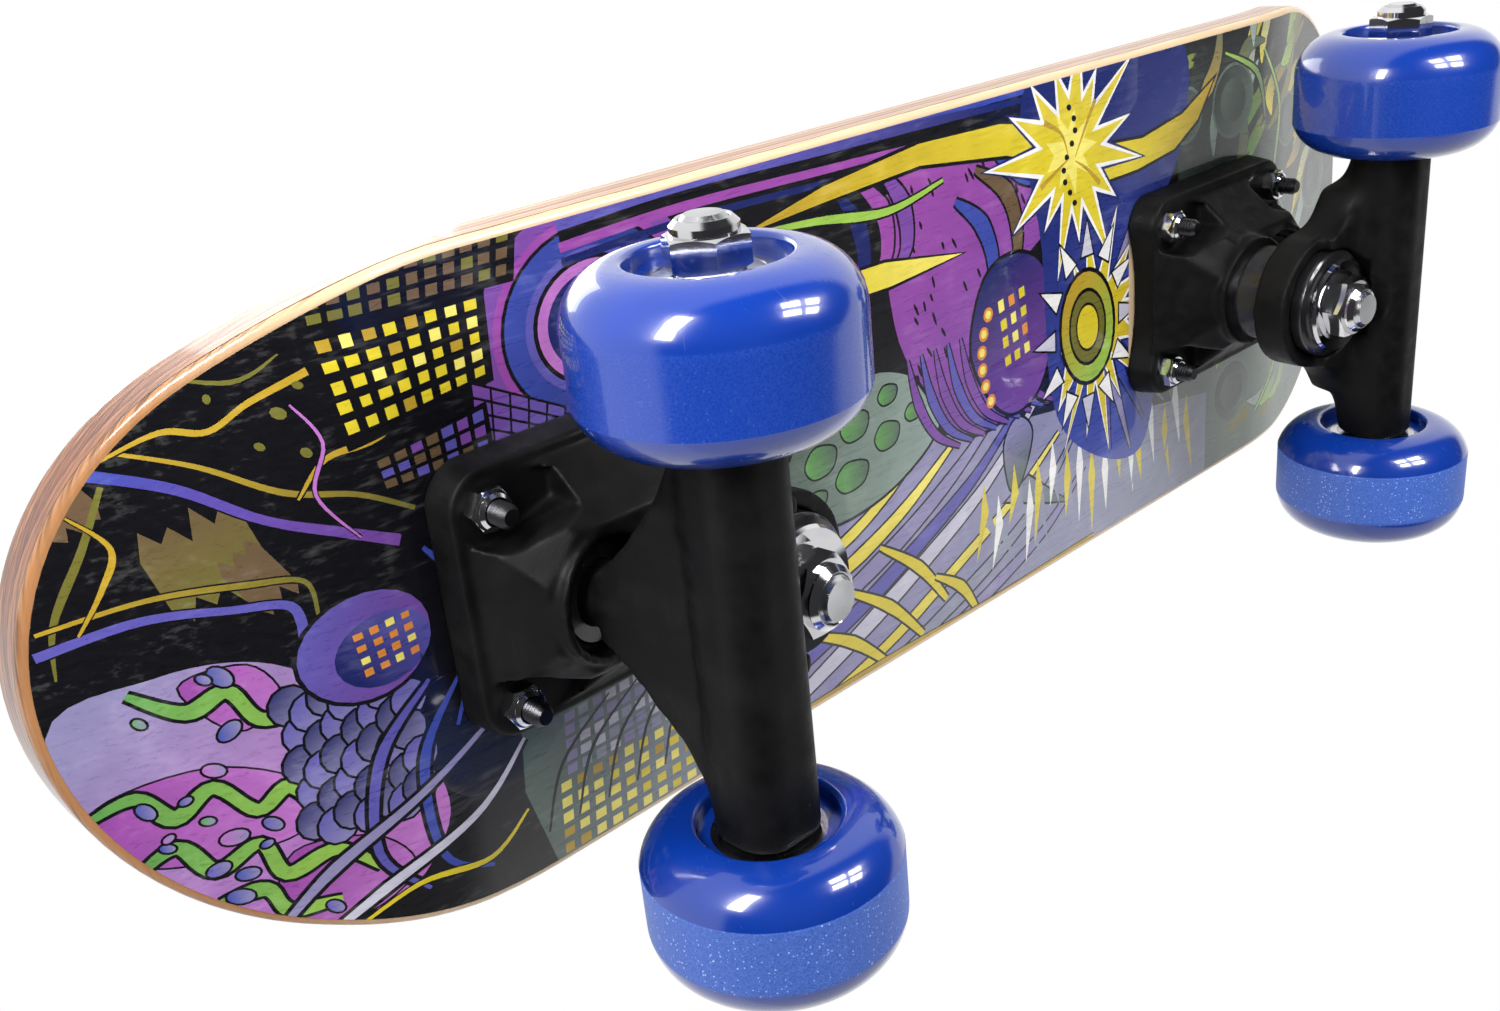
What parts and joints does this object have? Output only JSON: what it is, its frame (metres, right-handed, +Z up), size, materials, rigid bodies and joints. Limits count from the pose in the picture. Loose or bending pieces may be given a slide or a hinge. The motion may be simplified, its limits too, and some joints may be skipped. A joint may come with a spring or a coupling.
{
  "type": "skateboard",
  "caption": "Small popsicle-shaped skateboard: laminated kicked deck with printed underside, kingpin trucks with rubber bushings and ball-bearing urethane wheels.",
  "frame": {"origin": "middle of the bounding box, on the ground plane the wheels stand on", "axes": "+X along the board from the steep tail to the nose, +Y to the left wheels, +Z up through the deck"},
  "size_m": [0.44, 0.1488, 0.1119],
  "materials": {
    "deck_wood": "clear lacquer",
    "grip": "grit",
    "truck_plastic": "fine moulded texture",
    "wheel_blue": "gloss, matte tread",
    "bushing_rubber": "satin",
    "chrome_steel": "polished",
    "zinc_steel": "zinc plated",
    "black_steel": "black oxide",
    "bearing_steel": "ground",
    "shield_steel": "pressed"
  },
  "bodies": {
    "board": {"deck": "deck_wood", "grip_tape": "grip", "tail_baseplate": "truck_plastic", "tail_mounting_bolts": "black_steel", "tail_bolt_nuts": "zinc_steel", "tail_kingpin": "chrome_steel", "tail_kingpin_nut": "chrome_steel", "tail_kingpin_washers": "chrome_steel", "tail_board_bushing": "bushing_rubber", "tail_road_bushing": "bushing_rubber", "tail_pivot_cup": "bushing_rubber", "nose_baseplate": "truck_plastic", "nose_mounting_bolts": "black_steel", "nose_bolt_nuts": "zinc_steel", "nose_kingpin": "chrome_steel", "nose_kingpin_nut": "chrome_steel", "nose_kingpin_washers": "chrome_steel", "nose_board_bushing": "bushing_rubber", "nose_road_bushing": "bushing_rubber", "nose_pivot_cup": "bushing_rubber"},
    "tail_truck": {"tail_hanger": "truck_plastic", "tail_axle": "zinc_steel", "tail_left_inner_rings": "bearing_steel", "tail_left_speed_washers": "zinc_steel", "tail_left_bearing_spacer": "zinc_steel", "tail_left_axle_nut": "chrome_steel", "tail_right_inner_rings": "bearing_steel", "tail_right_speed_washers": "zinc_steel", "tail_right_bearing_spacer": "zinc_steel", "tail_right_axle_nut": "chrome_steel"},
    "tail_left_roller": {"tail_left_wheel": "wheel_blue", "tail_left_outer_rings": "bearing_steel", "tail_left_bearing_shields": "shield_steel"},
    "tail_left_ball_set": {"tail_left_bearing_balls": "chrome_steel"},
    "tail_right_roller": {"tail_right_wheel": "wheel_blue", "tail_right_outer_rings": "bearing_steel", "tail_right_bearing_shields": "shield_steel"},
    "tail_right_ball_set": {"tail_right_bearing_balls": "chrome_steel"},
    "nose_truck": {"nose_hanger": "truck_plastic", "nose_axle": "zinc_steel", "nose_left_inner_rings": "bearing_steel", "nose_left_speed_washers": "zinc_steel", "nose_left_bearing_spacer": "zinc_steel", "nose_left_axle_nut": "chrome_steel", "nose_right_inner_rings": "bearing_steel", "nose_right_speed_washers": "zinc_steel", "nose_right_bearing_spacer": "zinc_steel", "nose_right_axle_nut": "chrome_steel"},
    "nose_left_roller": {"nose_left_wheel": "wheel_blue", "nose_left_outer_rings": "bearing_steel", "nose_left_bearing_shields": "shield_steel"},
    "nose_left_ball_set": {"nose_left_bearing_balls": "chrome_steel"},
    "nose_right_roller": {"nose_right_wheel": "wheel_blue", "nose_right_outer_rings": "bearing_steel", "nose_right_bearing_shields": "shield_steel"},
    "nose_right_ball_set": {"nose_right_bearing_balls": "chrome_steel"}
  },
  "joints": [
    {"name": "tail_steer", "type": "hinge", "parent": "board", "child": "tail_truck", "pos_m": [-0.105, 0, 0.0375], "axis": [-0.7071, 0, 0.7071], "range_deg": [-10, 10], "stiffness_Nm_per_rad": 9, "deforming": ["tail_board_bushing", "tail_road_bushing"]},
    {"name": "tail_left_spin", "type": "hinge", "parent": "tail_truck", "child": "tail_left_roller", "pos_m": [-0.122, 0.053, 0.025], "axis": [0, 1, 0], "continuous": true},
    {"name": "tail_left_cage_spin", "type": "hinge", "parent": "tail_truck", "child": "tail_left_ball_set", "pos_m": [-0.122, 0.053, 0.025], "axis": [0, 1, 0], "continuous": true},
    {"name": "tail_right_spin", "type": "hinge", "parent": "tail_truck", "child": "tail_right_roller", "pos_m": [-0.122, -0.053, 0.025], "axis": [0, 1, 0], "continuous": true},
    {"name": "tail_right_cage_spin", "type": "hinge", "parent": "tail_truck", "child": "tail_right_ball_set", "pos_m": [-0.122, -0.053, 0.025], "axis": [0, 1, 0], "continuous": true},
    {"name": "nose_steer", "type": "hinge", "parent": "board", "child": "nose_truck", "pos_m": [0.101, 0, 0.0375], "axis": [0.7071, 0, 0.7071], "range_deg": [-10, 10], "stiffness_Nm_per_rad": 9, "deforming": ["nose_board_bushing", "nose_road_bushing"]},
    {"name": "nose_left_spin", "type": "hinge", "parent": "nose_truck", "child": "nose_left_roller", "pos_m": [0.118, 0.053, 0.025], "axis": [0, 1, 0], "continuous": true},
    {"name": "nose_left_cage_spin", "type": "hinge", "parent": "nose_truck", "child": "nose_left_ball_set", "pos_m": [0.118, 0.053, 0.025], "axis": [0, 1, 0], "continuous": true},
    {"name": "nose_right_spin", "type": "hinge", "parent": "nose_truck", "child": "nose_right_roller", "pos_m": [0.118, -0.053, 0.025], "axis": [0, 1, 0], "continuous": true},
    {"name": "nose_right_cage_spin", "type": "hinge", "parent": "nose_truck", "child": "nose_right_ball_set", "pos_m": [0.118, -0.053, 0.025], "axis": [0, 1, 0], "continuous": true}
  ],
  "couplings": [
    {"joint": "tail_left_cage_spin", "follows": "tail_left_spin", "ratio": 0.6323},
    {"joint": "tail_right_cage_spin", "follows": "tail_right_spin", "ratio": 0.6323},
    {"joint": "nose_left_cage_spin", "follows": "nose_left_spin", "ratio": 0.6323},
    {"joint": "nose_right_cage_spin", "follows": "nose_right_spin", "ratio": 0.6323}
  ]
}
